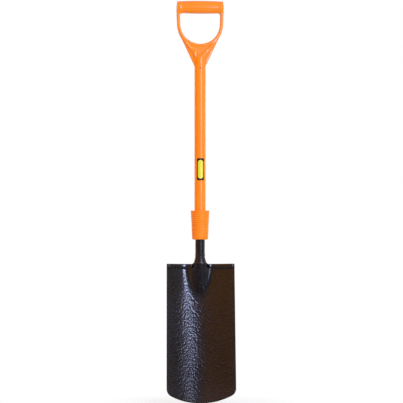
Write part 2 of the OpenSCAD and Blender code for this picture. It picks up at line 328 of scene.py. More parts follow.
def mixOf(tree, share, colourA, colourB):
    mix = tree.nodes.new("ShaderNodeMix")
    mix.data_type = "RGBA"
    for socket, colour in ((mix.inputs[6], colourA), (mix.inputs[7], colourB)):
        if isinstance(colour, tuple):
            socket.default_value = (*colour, 1)
        else:
            tree.links.new(colour, socket)
    tree.links.new(share, mix.inputs[0])
    return mix.outputs[2]


def bumpOf(tree, height, depth, strength, under=None):  # depth in mm
    bump = tree.nodes.new("ShaderNodeBump")
    bump.inputs["Strength"].default_value = strength
    bump.inputs["Distance"].default_value = depth * mm
    tree.links.new(height, bump.inputs["Height"])
    if under is not None:
        tree.links.new(under, bump.inputs["Normal"])
    return bump.outputs["Normal"]


def heightOf(tree, foot, top, atFoot, atTop):  # a value that changes between two heights, in mm
    place = tree.nodes.new("ShaderNodeTexCoord")
    axes = tree.nodes.new("ShaderNodeSeparateXYZ")
    tree.links.new(place.outputs["Object"], axes.inputs["Vector"])
    return rangeOf(tree, axes.outputs["Z"], foot * mm, top * mm, atFoot, atTop)


paintMarks = {
    "patchDetail": 3, "patchBand": (0.3, 0.7), "fineDetail": 4, "cellBand": (0.06, 0.45),
    "rubDetail": 5, "rubStretch": (1, 1, 0.25), "rubBand": (0.62, 0.75),
}


def hammeredPaint(name, look, marks=paintMarks):
    material, tree, shader = startMaterial(name)
    cells = cellsOf(tree, look["cell"], look["cellWarp"])
    broad = noiseOf(tree, look["patch"], marks["patchDetail"])
    fine = noiseOf(tree, look["fine"], marks["fineDetail"])
    streaks = noiseOf(tree, look["rub"], marks["rubDetail"], marks["rubStretch"])
    paleStreaks = rangeOf(tree, streaks, *marks["rubBand"], 0, look["rubShare"])
    # streaks paler towards the foot of the blade, fading out higher up
    footPaling = heightOf(tree, look["palingFoot"], look["palingTop"], look["paling"], 0.0)
    paleStreaks = mathOf(tree, "MAXIMUM", paleStreaks, mathOf(tree, "MULTIPLY", streaks, footPaling))
    raised = rangeOf(tree, cells, *marks["cellBand"], 0, 1)
    colour = mixOf(tree, raised, look["colour"], look["colourPale"])
    colour = mixOf(tree, paleStreaks, colour, look["streakColour"])
    tree.links.new(colour, shader.inputs["Base Color"])
    rough = rangeOf(tree, broad, *marks["patchBand"], look["roughLow"], look["roughHigh"])
    sleek = heightOf(tree, look["calmFoot"], look["calmTop"], 1.0, look["sleek"])
    tree.links.new(mathOf(tree, "MULTIPLY", rough, sleek), shader.inputs["Roughness"])
    calm = heightOf(tree, look["calmFoot"], look["calmTop"], 1.0, look["calm"])
    normal = bumpOf(tree, mathOf(tree, "MULTIPLY", cells, calm), look["cellDepth"], look["cellStrength"])
    normal = bumpOf(tree, fine, look["fineDepth"], look["fineStrength"], normal)
    tree.links.new(normal, shader.inputs["Normal"])
    shader.inputs["Specular IOR Level"].default_value = look["specular"]
    return material


plasticMarks = {
    "patchDetail": 4, "patchBand": (0.3, 0.7), "grainDetail": 3,
    "scuffDetail": 6, "scuffDistort": 0.4, "scuffBand": (0.6, 0.72),
}


def mouldedPlastic(name, look, marks=plasticMarks):
    material, tree, shader = startMaterial(name)
    broad = noiseOf(tree, look["patch"], marks["patchDetail"], look["stretch"])
    grain = noiseOf(tree, look["grain"], marks["grainDetail"])
    scrapes = noiseOf(tree, look["scuff"], marks["scuffDetail"], look["stretch"], marks["scuffDistort"])
    scuff = rangeOf(tree, scrapes, *marks["scuffBand"], 0, look["scuffShare"])
    patches = rangeOf(tree, broad, *marks["patchBand"], 0, 1)
    colour = mixOf(tree, patches, look["colour"], look["colourDeep"])
    colour = mixOf(tree, scuff, colour, look["scuffColour"])
    tree.links.new(colour, shader.inputs["Base Color"])
    rough = rangeOf(tree, broad, *marks["patchBand"], look["roughLow"], look["roughHigh"])
    tree.links.new(rough, shader.inputs["Roughness"])
    tree.links.new(bumpOf(tree, grain, look["grainDepth"], look["grainStrength"]), shader.inputs["Normal"])
    shader.inputs["Specular IOR Level"].default_value = look["specular"]
    return material


bladePaintLook = {
    "colour": (0.0022, 0.0016, 0.002), "colourPale": (0.0085, 0.0066, 0.0072), "patch": 60.0,
    # colour of the paler streaks, and how far up from the blade's foot they grow paler
    "streakColour": (0.022, 0.019, 0.019), "rub": 14.0, "rubShare": 0.35,
    "paling": 0.8, "palingFoot": 12.0, "palingTop": 75.0,
    "cell": 5.2, "cellWarp": 2.1, "cellDepth": 0.41, "cellStrength": 1.0,
    "calm": 0.12, "sleek": 0.6, "calmFoot": 230.0, "calmTop": 335.0,
    "fine": 0.9, "fineDepth": 0.03, "fineStrength": 0.3,
    "roughLow": 0.18, "roughHigh": 0.24, "specular": 0.31,
}
bladePaint = hammeredPaint("bladePaint", bladePaintLook)

treadPaintLook = dict(bladePaintLook, cellDepth=0.1, calm=1.0, sleek=1.0, roughLow=0.11, roughHigh=0.16)
treadPaint = hammeredPaint("treadPaint", treadPaintLook)

shankPaintLook = dict(treadPaintLook, cellDepth=0.25, roughLow=0.26, roughHigh=0.34)
shankPaint = hammeredPaint("shankPaint", shankPaintLook)

weldPaintLook = dict(treadPaintLook, cell=2.0, cellWarp=1.0, cellDepth=0.2, roughLow=0.3, roughHigh=0.45)
weldPaint = hammeredPaint("weldPaint", weldPaintLook)

tubePaintLook = dict(treadPaintLook, cell=4.6, cellWarp=1.6, cellDepth=0.2, cellStrength=0.5,
                     colour=(0.0015, 0.001, 0.0012), colourPale=(0.005, 0.004, 0.0042),
                     roughLow=0.3, roughHigh=0.42, specular=0.24)
tubePaint = hammeredPaint("tubePaint", tubePaintLook)

sheathLook = {
    "colour": (0.96, 0.28, 0.005), "colourDeep": (0.94, 0.258, 0.004),
    "patch": 35.0, "stretch": (1, 1, 0.12),
    "scuffColour": (0.95, 0.3, 0.03), "scuff": 9.0, "scuffShare": 0.3,
    "grain": 1.4, "grainDepth": 0.03, "grainStrength": 0.25,
    "roughLow": 0.26, "roughHigh": 0.37, "specular": 0.36,
}
sheathPlastic = mouldedPlastic("sheathPlastic", sheathLook)

handleLook = dict(sheathLook, stretch=(1, 1, 1), patch=45.0, grain=0.9, grainDepth=0.012,
                  roughLow=0.21, roughHigh=0.29, specular=0.42)
handlePlastic = mouldedPlastic("handlePlastic", handleLook)

collarLook = dict(sheathLook, stretch=(1, 1, 1), patch=25.0, grain=0.7, grainDepth=0.08, grainStrength=0.4,
                  roughLow=0.46, roughHigh=0.56, specular=0.3)
collarPlastic = mouldedPlastic("collarPlastic", collarLook)

pinLook = dict(sheathLook, colour=(0.72, 0.11, 0.02), colourDeep=(0.62, 0.09, 0.015), patch=3.0, scuff=1.2,
               grain=0.5, grainDepth=0.05, roughLow=0.4, roughHigh=0.5, specular=0.3)
pinPlastic = mouldedPlastic("pinPlastic", pinLook)

labelLook = dict(sheathLook, stretch=(1, 1, 1), scuff=2.5, grainDepth=0.05)
labelBlackLook = dict(labelLook, colour=(0.005, 0.005, 0.006), colourDeep=(0.009, 0.009, 0.01), patch=12.0,
                      scuffColour=(0.04, 0.04, 0.04), roughLow=0.34, roughHigh=0.46, specular=0.14)
labelBlack = mouldedPlastic("labelBlack", labelBlackLook)

labelYellowLook = dict(labelLook, colour=(0.78, 0.77, 0.05), colourDeep=(0.72, 0.72, 0.04), patch=14.0,
                       scuffColour=(0.86, 0.83, 0.3), roughLow=0.3, roughHigh=0.42, specular=0.3)
labelYellow = mouldedPlastic("labelYellow", labelYellowLook)

steelLook = {
    "colour": (0.5, 0.5, 0.52), "colourDark": (0.36, 0.36, 0.38),
    "patch": 2.0, "patchDetail": 4, "patchBand": (0.3, 0.7),
    "grind": 0.25, "grindDetail": 2, "grindStretch": (0.1, 1, 1), "grindDepth": 0.03, "grindStrength": 0.3,
    "roughLow": 0.28, "roughHigh": 0.45,
}


def groundSteel(name, look):
    material, tree, shader = startMaterial(name)
    broad = noiseOf(tree, look["patch"], look["patchDetail"])
    grind = noiseOf(tree, look["grind"], look["grindDetail"], look["grindStretch"])
    tree.links.new(mixOf(tree, broad, look["colour"], look["colourDark"]), shader.inputs["Base Color"])
    rough = rangeOf(tree, broad, *look["patchBand"], look["roughLow"], look["roughHigh"])
    tree.links.new(rough, shader.inputs["Roughness"])
    tree.links.new(bumpOf(tree, grind, look["grindDepth"], look["grindStrength"]), shader.inputs["Normal"])
    shader.inputs["Metallic"].default_value = 1.0
    return material


steel = groundSteel("groundSteel", steelLook)
print("stage: materials made")


# Blade: a dished plate on a grid, with a rounded rim and a thinned tip

bladeShape = {
    "length": 358.0, "topWidth": 175.0, "footWidth": 179.0, "thickness": 3.0, "dishRadius": 190.0,
    "edgeRadius": 170.0, "cornerRadius": 22.0, "tipThickness": 1.2, "taper": 45.0, "lean": 4.0,
    "setBack": 3.0, "shankRise": 23.0, "rim": 0.9,
    "rows": 130, "edgeColumns": 42, "cornerColumns": 12, "rimSteps": 6,
    "wave": 0.22, "waveMix": 0.6, "waveLengths": (31.0, 47.0, 17.0, 29.0), "wavePhases": (1.3, 0.6, 2.1),
    "swell": 11.8, "swellHalf": 53.0, "swellDraw": 0.4, "swellNose": 11.0, "swellLength": 105.0,
    "swellFade": 3.3, "swellPower": 3.2,
}
bladeTopZ = seamFoot[2] - bladeShape["shankRise"]
leanCos = math.cos(math.radians(bladeShape["lean"]))
leanSin = math.sin(math.radians(bladeShape["lean"]))


def fromBlade(local):  # blade's own frame, top edge at z = 0, to the spade's frame
    x, y, z = np.asarray(local, float).T
    return np.stack([x, y * leanCos + z * leanSin + shaftY, -y * leanSin + z * leanCos + bladeTopZ], 1)


def toBlade(points):
    x, y, z = points[:, 0], points[:, 1] - shaftY, points[:, 2] - bladeTopZ
    return np.stack([x, y * leanCos - z * leanSin, y * leanSin + z * leanCos], 1)


def sag(radius, half):
    return radius - math.sqrt(radius * radius - half * half)


def plateThickness(z, shape=bladeShape):
    share = np.clip((z + shape["length"]) / shape["taper"], 0, 1)
    return shape["tipThickness"] + (shape["thickness"] - shape["tipThickness"]) * share


def onPlate(x, z, depth, shape=bladeShape):  # a point of the plate, that deep behind its front face
    radius = shape["dishRadius"]
    wide, tall, slantWide, slantTall = shape["waveLengths"]
    widePhase, tallPhase, slantPhase = shape["wavePhases"]
    slant = np.sin(x / slantWide + z / slantTall + slantPhase)
    waves = np.sin(x / wide + widePhase) * np.sin(z / tall + tallPhase) + shape["waveMix"] * slant
    away = np.sqrt((radius + depth + shape["wave"] * waves) ** 2 - x ** 2)
    return np.stack([x, shape["setBack"] - radius + away, z], 1)


def swellAt(x, z, shape=bladeShape):  # how far the plate's front swells towards the shank
    down = np.clip(-z / shape["swellLength"], 0, 1)
    height = shape["swell"] * (1 - down ** 2) ** shape["swellFade"]
    reach = shape["swellHalf"] * (1 - shape["swellDraw"] * down)
    aside = np.hypot(x, shape["swellNose"]) - shape["swellNose"]
    return height * np.clip(1 - aside / reach, 0, 1) ** shape["swellPower"]


def bladeColumns(shape=bladeShape):  # where each column of the grid starts and ends, inside the rim
    rim = shape["rim"]
    sideTop = np.array([shape["topWidth"] / 2, 0])
    half = shape["footWidth"] / 2
    sideFoot = np.array([half, -shape["length"] + sag(shape["edgeRadius"], half)])
    sideDir = (sideFoot - sideTop) / np.linalg.norm(sideFoot - sideTop)
    sideIn = np.array([sideDir[1], -sideDir[0]])
    edgeCentre = np.array([0, -shape["length"] + shape["edgeRadius"]])
    reach = shape["edgeRadius"] - shape["cornerRadius"]
    start = sideTop + shape["cornerRadius"] * sideIn - edgeCentre
    back = start @ sideDir
    along = math.sqrt(back ** 2 + reach ** 2 - start @ start) - back
    cornerCentre = sideTop + along * sideDir + shape["cornerRadius"] * sideIn
    ray = (cornerCentre - edgeCentre) / reach
    rayAngle = math.degrees(math.atan2(ray[1], ray[0]))
    sideAngle = math.degrees(math.atan2(-sideIn[1], -sideIn[0]))
    edge = arcPoints(edgeCentre, shape["edgeRadius"] - rim, -90, rayAngle, shape["edgeColumns"])
    cornerInner = shape["cornerRadius"] - rim
    corner = arcPoints(cornerCentre, cornerInner, rayAngle, sideAngle, shape["cornerColumns"])
    foot = np.concatenate([edge, corner[1:]])
    topX = foot[:, 0] / foot[-1, 0] * (sideTop[0] - rim)
    top = np.stack([topX, np.full(len(foot), -rim)], 1)
    mirror = np.array([-1, 1])
    return np.concatenate([top[:0:-1] * mirror, top]), np.concatenate([foot[:0:-1] * mirror, foot])


def makeBlade(shape=bladeShape):
    top, foot = bladeColumns()
    rows, columns = shape["rows"] + 1, len(top)
    share = np.linspace(0, 1, rows)[:, None, None]
    flat = (top[None] * (1 - share) + foot[None] * share).reshape(-1, 2)
    thick = plateThickness(flat[:, 1])
    swell = swellAt(flat[:, 0], flat[:, 1])
    front = onPlate(flat[:, 0], flat[:, 1], -swell)
    back = onPlate(flat[:, 0], flat[:, 1], thick)
    faces = []
    for row in range(rows - 1):
        for column in range(columns - 1):
            a = row * columns + column
            b = a + columns
            faces.append((a, b, b + 1, a + 1))
            faces.append((len(flat) + a, len(flat) + a + 1, len(flat) + b + 1, len(flat) + b))
    loop = np.array(gridRim(rows, columns))
    edge = flat[loop]
    ahead = np.roll(edge, -1, 0) - edge
    ahead /= np.linalg.norm(ahead, axis=1)[:, None]
    outward = np.stack([-ahead[:, 1], ahead[:, 0]], 1)
    outward = outward + np.roll(outward, 1, 0)
    outward /= np.linalg.norm(outward, axis=1)[:, None]
    points, count = [front, back], 2 * len(flat)
    rings = [loop]
    for step in range(1, shape["rimSteps"]):
        angle = math.pi * step / shape["rimSteps"]
        out = edge + shape["rim"] * math.sin(angle) * outward
        depth = (thick + swell)[loop] * (1 - math.cos(angle)) / 2 - swell[loop]
        points.append(onPlate(out[:, 0], out[:, 1], depth))
        rings.append(np.arange(count, count + len(loop)))
        count += len(loop)
    rings.append(loop + len(flat))
    for here, there in zip(rings, rings[1:]):
        for i in range(len(loop)):
            j = (i + 1) % len(loop)
            faces.append((here[i], here[j], there[j], there[i]))
    return fromBlade(np.concatenate(points)), faces


newPiece("blade_plate", *makeBlade(), bladePaint, "hammered_paint", ["blade"])
print("stage: blade made")


# Shank: a spigot inside the tube, and a round neck that runs into a tongue, blended into the plate

shankShape = {
    "neckRadius": 12.65, "shoulder": 18.5, "flarePower": 2.0,
    "tongueLength": 58.0, "tonguePower": 2.6, "tipShare": 0.995, "least": 1e-6,
    "plateBlend": 7.0, "sink": 0.06, "feather": 0.03, "featherSlope": 12.0, "keep": 1.5,
    "spigotRadius": 9.65, "spigotLap": 3.0, "pinHole": 3.1,
    "boxAside": 42.0, "boxFront": 42.0, "boxRear": 26.0, "boxDown": 90.0, "boxOver": 2.0, "grid": 1.1,
}


def plateField(local, swell, shape=bladeShape):  # distance to the plate's two faces and its top edge
    radial = np.hypot(local[:, 0], local[:, 1] - shape["setBack"] + shape["dishRadius"])
    front = shape["dishRadius"] - swell - radial
    back = radial - shape["dishRadius"] - shape["thickness"]
    return np.maximum(np.maximum(front, back), local[:, 2] + shape["rim"])


def shankField(points, shape=shankShape):
    local = toBlade(points)
    x, y, z = local.T
    up = np.clip(1 - z / bladeShape["shankRise"], 0, 1)
    down = np.clip(-z / shape["tongueLength"], 0, shape["tipShare"])
    flare = shape["neckRadius"] + (shape["shoulder"] - shape["neckRadius"]) * up ** shape["flarePower"]
    halfWidth = np.where(z > 0, flare, shape["shoulder"] * np.sqrt(1 - down ** shape["tonguePower"]))
    halfPlate = bladeShape["thickness"] / 2
    halfDepth = halfPlate + (shape["neckRadius"] - halfPlate) * (1 - down)
    middle = np.where(z > 0, -z * leanSin / leanCos, (bladeShape["setBack"] + halfPlate) * down)
    across, deep = x / halfWidth, (y - middle) / halfDepth
    outer = np.maximum(np.hypot(across, deep), shape["least"])
    core = outer * (outer - 1) / np.hypot(across / halfWidth, deep / halfDepth).clip(shape["least"])
    below = np.maximum(-z - shape["tongueLength"], 0)
    core = np.where(below > 0, np.hypot(np.maximum(core, 0), below), core)
    core = np.maximum(core, points[:, 2] - bladeTopZ - bladeShape["shankRise"])
    plate = plateField(local, swellAt(x, z))
    whole = smoothMin(core, plate, shape["plateBlend"])
    added = np.minimum(core, plate) - whole
    near = np.minimum(core - shape["keep"], (shape["feather"] - added) * shape["featherSlope"])
    aside, height = points[:, 1] - shaftY, points[:, 2]
    spigot = np.maximum(np.hypot(x, aside) - shape["spigotRadius"], height - spigotTop)
    spigot = np.maximum(spigot, seamFoot[2] - shape["spigotLap"] - height)
    spigot = np.maximum(spigot, shape["pinHole"] - np.hypot(aside, height - crossPinZ))
    return np.minimum(np.maximum(whole + shape["sink"], near), spigot)


def makeShank(shape=shankShape):
    low = (-shape["boxAside"], shaftY - shape["boxFront"], bladeTopZ - shape["boxDown"])
    high = (shape["boxAside"], shaftY + shape["boxRear"], spigotTop + shape["boxOver"])
    return meshOfField(shankField, low, high, shape["grid"])


newPiece("shank_forging", *makeShank(), shankPaint, "hammered_paint", ["shank"])
print("stage: shank made")


# Treads and welds

treadShape = {
    "height": 11.0, "depth": 8.0, "rounding": 3.0, "leastRound": 0.2, "roundSteps": 7, "sunk": 0.6,
    "startAngle": 6.784, "endAngle": 26.914, "steps": 60,
    "endRounding": 3.2, "endFrom": 8, "endSteps": 6,
    "weldInset": 1.81, "weldRadius": 1.75, "weldOff": 0.75, "weldTip": 0.3, "weldTaper": 3.5,
    "weldSides": 14, "weldStep": 0.4, "weldOver": 0.01, "ripple": 2.6, "rippleRise": 0.1,
}


def roundDish(radius, angle, z):  # a point round the dish's axis, angle from the middle of the plate
    x = radius * np.sin(angle)
    radius = radius - swellAt(x, z)
    y = bladeShape["setBack"] - bladeShape["dishRadius"] + radius * np.cos(angle)
    return np.stack([x, y, z], 1)


def treadSection(inset, shape=treadShape):
    low, high = bladeShape["dishRadius"] - shape["depth"], bladeShape["dishRadius"] + shape["sunk"]
    r = shape["rounding"]
    top = arcPoints((low + r, -r), r - inset, 90, 180, shape["roundSteps"])
    foot = arcPoints((low + r, r - shape["height"]), r - inset, 180, 270, shape["roundSteps"])
    rear = np.array([[high, -shape["height"] + inset], [high, -inset]])
    return np.concatenate([top, foot, rear])


def makeTread(side, shape=treadShape):
    start, end = math.radians(shape["startAngle"]), math.radians(shape["endAngle"])
    length = (end - start) * bladeShape["dishRadius"]
    r = shape["endRounding"]
    ends = r * (1 - np.cos(np.radians(np.linspace(shape["endFrom"], 90, shape["endSteps"]))))
    places = np.concatenate([ends, np.linspace(r, length - r, shape["steps"])[1:-1], (length - ends)[::-1]])
    sections = []
    for place in places:
        nearEnd = max(r - min(place, length - place), 0)
        inset = r - math.sqrt(max(r * r - nearEnd * nearEnd, 0))
        flat = treadSection(min(inset, shape["rounding"] - shape["leastRound"]))
        angle = np.full(len(flat), side * (start + place / bladeShape["dishRadius"]))
        sections.append(fromBlade(roundDish(flat[:, 0], angle, flat[:, 1])))
    return sweep(sections if side > 0 else sections[::-1])


for side, name in ((-1, "tread_left"), (1, "tread_right")):
    newPiece(name + "_bar", *makeTread(side), treadPaint, "hammered_paint", [name])


def makeTreadWeld(side, shape=treadShape):
    start = math.radians(shape["startAngle"] + shape["weldInset"])
    end = math.radians(shape["endAngle"] - shape["weldInset"])
    radius = bladeShape["dishRadius"]
    length = (end - start) * radius
    sections = []
    turn = fullTurn(shape["weldSides"])
    for place in np.arange(0, length + shape["weldOver"], shape["weldStep"]):
        fromEnd = min(place, length - place) + shape["weldTip"]
        taper = math.sqrt(min(1, fromEnd / shape["weldTaper"]))
        beat = abs(math.sin(math.pi * place / shape["ripple"]))
        size = shape["weldRadius"] * taper * (1 + shape["rippleRise"] * beat)
        flatR = radius - shape["weldOff"] + size * np.cos(turn)
        flatZ = -shape["height"] - shape["weldOff"] + size * np.sin(turn)
        angle = np.full(len(turn), side * (start + place / radius))
        sections.append(fromBlade(roundDish(flatR, angle, flatZ)))
    return sweep(sections if side > 0 else sections[::-1])


newPiece("tread_weld_left", *makeTreadWeld(-1), weldPaint, "painted_weld", ["tread_welds"])
newPiece("tread_weld_right", *makeTreadWeld(1), weldPaint, "painted_weld")

seamShape = {
    "crown": 0.85, "lap": 0.2, "ripples": 38, "ripple": 0.16, "sides": 304, "round": 14,
    "drift": 0.2, "driftWaves": 3, "driftPhase": 0.7,
}


def makeSeam(shape=seamShape):
    middle = (seamFoot[2] + seamTop[2]) / 2
    half = (seamTop[2] - seamFoot[2]) / 2 + shape["lap"]
    tubeRadius = (seamTop[0] - seamFoot[0]) / 2 - shape["crown"]
    rings = []
    turn = fullTurn(shape["round"])
    for way in fullTurn(shape["sides"]):
        beat = abs(math.sin(shape["ripples"] * way / 2))
        size = shape["crown"] * (1 - shape["ripple"] * (1 - beat))
        radius = tubeRadius + size * np.cos(turn)
        drift = shape["drift"] * math.sin(shape["driftWaves"] * way + shape["driftPhase"])
        z = middle - half * np.sin(turn) + drift
        rings.append(np.stack([radius * math.cos(way), radius * math.sin(way) + shaftY, z], 1))
    return np.concatenate(rings), loopFaces(shape["sides"], shape["round"])


newPiece("seam_weld", *makeSeam(), weldPaint, "painted_weld", ["shank_weld"])
print("stage: treads and welds made")


# Sheath and collar, turned round the shaft

sheathShape = {
    "wall": 2.15, "round": 0.12, "topFrom": 20, "topSteps": 4, "rows": 60, "sides": 128,
    "wave": 0.05, "waveMix": 0.6, "waveShare": 0.6, "waveLengths": (41.0, 17.0), "wavePhases": (0.4, 2.0),
}


def makeSheath(shape=sheathShape):
    low, high, r = sheathLow[2], sheathHigh[2], shape["round"]
    heights = np.linspace(low + r, high - r, shape["rows"])
    slow, quick = (np.sin(heights / length + phase)
                   for length, phase in zip(shape["waveLengths"], shape["wavePhases"]))
    wave = shape["wave"] * (slow + shape["waveMix"] * quick)
    outside = np.stack([sheathRadius - shape["wave"] + wave * shape["waveShare"], heights], 1)
    inner = sheathRadius - shape["wall"]
    topEdge = arcPoints((sheathRadius - r, high - r), r, shape["topFrom"], 90, shape["topSteps"])
    footEdge = [[inner, low], [sheathRadius - r, low]]
    return lathe(np.concatenate([footEdge, outside, topEdge, [[inner, high]]]), shape["sides"])


newPiece("sheath_tube", *makeSheath(), sheathPlastic, "orange_sheath", ["sheath"])

collarShape = {
    "topDiameter": 48.5, "footDiameter": 40.5, "ledge": 20.0,
    "footRound": 2.6, "footSteps": 10, "lipRound": 1.2, "lipSteps": 8,
    "plain": 26.0, "pitch": 5.2, "depth": 0.7, "groovePower": 1.5,
    "tubeGap": 0.1, "wall": 2.15, "row": 0.35, "sides": 160,
}


def makeCollar(shape=collarShape):
    low, high = collarLow[2], collarHigh[2]
    height = high - low

    def radiusAt(z):
        return (shape["footDiameter"] + (shape["topDiameter"] - shape["footDiameter"]) * z / height) / 2

    footRound, lipRound = shape["footRound"], shape["lipRound"]
    foot = arcPoints((radiusAt(footRound) - footRound, footRound), footRound, -90, 0, shape["footSteps"])
    lip = arcPoints((radiusAt(height) - lipRound, height - lipRound), lipRound, 0, 90, shape["lipSteps"])
    heights = np.arange(footRound + shape["row"], height - lipRound, shape["row"])
    ringTop = height - lipRound - shape["pitch"] / 2
    ringFoot = ringTop - shape["pitch"] * math.floor((ringTop - shape["plain"]) / shape["pitch"])
    inRings = (heights > ringFoot) & (heights < ringTop)
    turns = 2 * math.pi * (heights - ringFoot) / shape["pitch"]
    groove = (0.5 - 0.5 * np.cos(turns)) ** shape["groovePower"]
    side = np.stack([radiusAt(heights) - shape["depth"] * groove * inRings, heights], 1)
    bore = sheathRadius - shape["wall"]
    seat = sheathRadius + shape["tubeGap"]
    inside = [[seat, height], [seat, shape["ledge"]], [bore, shape["ledge"]]]
    profile = np.concatenate([[[bore, 0]], foot, side, lip, inside])
    profile[:, 1] += low
    return lathe(profile, shape["sides"])


newPiece("collar_cone", *makeCollar(), collarPlastic, "orange_collar", ["collar"])
print("stage: sheath and collar made")


# D handle: one smooth moulding made from a distance field

handleShape = {
    "openingWidth": 103.0, "openingHeight": 78.0, "crotch": 74.0, "skirt": 17.0,
    "armThickness": 7.7, "armDepth": 20.0, "armDepthTop": 25.0, "armRound": 3.2, "armOver": 4.0,
    "splay": 1.2, "armBlend": 3.0,
    "gripDiameter": 33.0, "gripCrown": 1.5, "gripEnd": 0.2, "gripEndRound": 2.4,
    "vFoot": 48.0, "vSlope": 0.9, "vFloor": 7.8, "vWall": 1.0, "vBlend": 1.6,
    "webThickness": 8.5, "webRound": 2.0, "webBlend": 1.2, "webFillet": 5.0, "webFilletAt": (1.0, 7.0),
    "raisedFoot": (12.5, 42.5), "raisedTop": (43.0, 84.5),
    "raisedDepth": 20.5, "raisedDraft": 2.2, "raisedRound": 1.6,
    "gripFillet": 9.0, "gripBlend": 1.5, "gripFilletAt": (2.0, 6.0),
    "bodyFillet": 10.0, "bodyBlend": 1.2, "bodyFilletAt": (-5.0, 0.0),
    "wall": 2.15, "boreDepth": 40.0, "footLap": 0.5,
    "boxAside": 4.0, "boxDeep": 20.0, "boxOver": 2.5, "grid": 1.2,
}


def handleField(points, shape=handleShape):
    x, y, h = points[:, 0], points[:, 1] - shaftY, points[:, 2] - handleLow[2]
    ax, ay = np.abs(x), np.abs(y)
    inner = shape["openingWidth"] / 2
    half = shape["armThickness"] / 2
    outer = inner + 2 * half
    bow = shape["crotch"] + inner
    grip = shape["crotch"] + shape["openingHeight"] + shape["gripDiameter"] / 2
    ring = np.hypot(x, h - bow)

    # Arms, bowed at the foot and splayed towards the grip
    rise = np.clip((h - bow) / (grip - bow), 0, 1)
    armX = inner + half + shape["splay"] * rise * (2 - rise)
    band = np.where(h < bow, np.abs(ring - inner - half), np.abs(ax - armX)) - half
    band = np.maximum(band, h - grip - shape["armOver"])
    armHalf = (shape["armDepth"] + (shape["armDepthTop"] - shape["armDepth"]) * rise ** 2) / 2
    arms = slabOf(band, ay - armHalf, shape["armRound"])

    # Crowned grip bar and the round body under the opening
    gripRadius = shape["gripDiameter"] / 2 - shape["gripCrown"] * (x / outer) ** 2
    bar = smoothMax(np.hypot(y, h - grip) - gripRadius, ax - outer - shape["gripEnd"], shape["gripEndRound"])
    body = np.maximum(np.maximum(np.hypot(x, y) - sheathRadius, h - bow), inner + half - ring)

    # Web, whose side runs from the skirt and touches the bow of the arms
    foot = np.array([sheathRadius, shape["skirt"]])
    drop = foot - np.array([0, bow])
    touchAngle = math.atan2(drop[1], drop[0]) + math.acos(outer / np.linalg.norm(drop))
    normal = np.array([math.cos(touchAngle), math.sin(touchAngle)])
    touch = np.array([0, bow]) + outer * normal
    side = (ax - foot[0]) * normal[0] + (h - foot[1]) * normal[1]
    outline = np.maximum(np.maximum(side, h - touch[1]), shape["skirt"] - h)
    outline = np.maximum(outline, inner + half - ring)
    web = slabOf(outline, ay - shape["webThickness"] / 2, shape["webRound"])

    # Raised part of the web, with a drafted edge
    low, top = np.array(shape["raisedFoot"]), np.array(shape["raisedTop"])
    along = (top - low) / np.linalg.norm(top - low)
    line = (ax - low[0]) * along[1] - (h - low[1]) * along[0]
    draft = shape["raisedDraft"]
    lid = ay - shape["raisedDepth"] / 2 + draft * np.maximum(line, 0)
    lid = lid / np.where(line > 0, math.hypot(1, draft), 1)
    raised = smoothMax(outline, lid, shape["raisedRound"])

    # All of it joined with fillets, with a shallow V pocket and the bore for the tube
    gripReach = np.interp(ax - inner, shape["gripFilletAt"], [shape["gripFillet"], shape["gripBlend"]])
    whole = smoothMin(arms, bar, gripReach)
    fromBody = ax - sheathRadius
    bodyReach = np.interp(fromBody, shape["bodyFilletAt"], [shape["bodyBlend"], shape["bodyFillet"]])
    trunk = smoothMin(body, raised, bodyReach)
    outside = (shape["vSlope"] * ax + shape["vFoot"] - h) / math.hypot(1, shape["vSlope"])
    pocket = ay - shape["vFloor"] - shape["vWall"] * np.maximum(outside, 0)
    pocket = pocket / math.hypot(1, shape["vWall"])
    trunk = smoothMax(trunk, pocket, shape["vBlend"])
    whole = smoothMin(whole, trunk, shape["armBlend"])
    webReach = np.interp(-outline, shape["webFilletAt"], [shape["webBlend"], shape["webFillet"]])
    whole = smoothMin(whole, web, webReach)
    bore = np.maximum(np.hypot(x, y) - sheathRadius + shape["wall"], h - shape["boreDepth"])
    return np.maximum(np.maximum(whole, -h - shape["footLap"]), -bore)


def makeHandle(shape=handleShape):
    aside = handleHigh[0] + shape["boxAside"]
    low = (-aside, shaftY - shape["boxDeep"], handleLow[2] - shape["boxOver"])
    high = (aside, shaftY + shape["boxDeep"], handleHigh[2] + shape["boxOver"])
    return meshOfField(handleField, low, high, shape["grid"])


newPiece("handle_moulding", *makeHandle(), handlePlastic, "orange_handle", ["d_handle"])
print("stage: handle made")

pinShape = {
    "radius": 2.45, "proud": 0.25, "edge": 1.0, "sides": 40,
    "dome": 0.5, "domeAngles": (10, 25, 40, 55, 70, 90),
}


def makePin(shape=pinShape):
    end = sheathRadius + shape["proud"]
    side = end - shape["dome"] - shape["edge"]
    rows = [(shape["radius"] * math.sin(angle), end - shape["dome"] * (1 - math.cos(angle)))
            for angle in map(math.radians, shape["domeAngles"])]
    profile = [(r, -y) for r, y in rows] + [(shape["radius"], -side), (shape["radius"], side)] + rows[::-1]
    turn = fullTurn(shape["sides"])
    middle = (pinLow[2] + pinHigh[2]) / 2
    sections = [np.stack([r * np.cos(turn), np.full(len(turn), y + shaftY), middle - r * np.sin(turn)], 1)
                for r, y in profile]
    return sweep(sections)


newPiece("handle_peg", *makePin(), pinPlastic, "handle_pin", ["handle_pin"])


# Label: a black base and a plain yellow field, wrapped on the front of the sheath

labelShape = {
    "width": 19.0, "corner": 2.0, "baseRise": 0.2, "fieldWidth": 14.2, "fieldInset": 4.2, "fieldRise": 0.26,
    "columns": 16, "rows": 80, "foot": 0.1, "tip": 0.4,
}


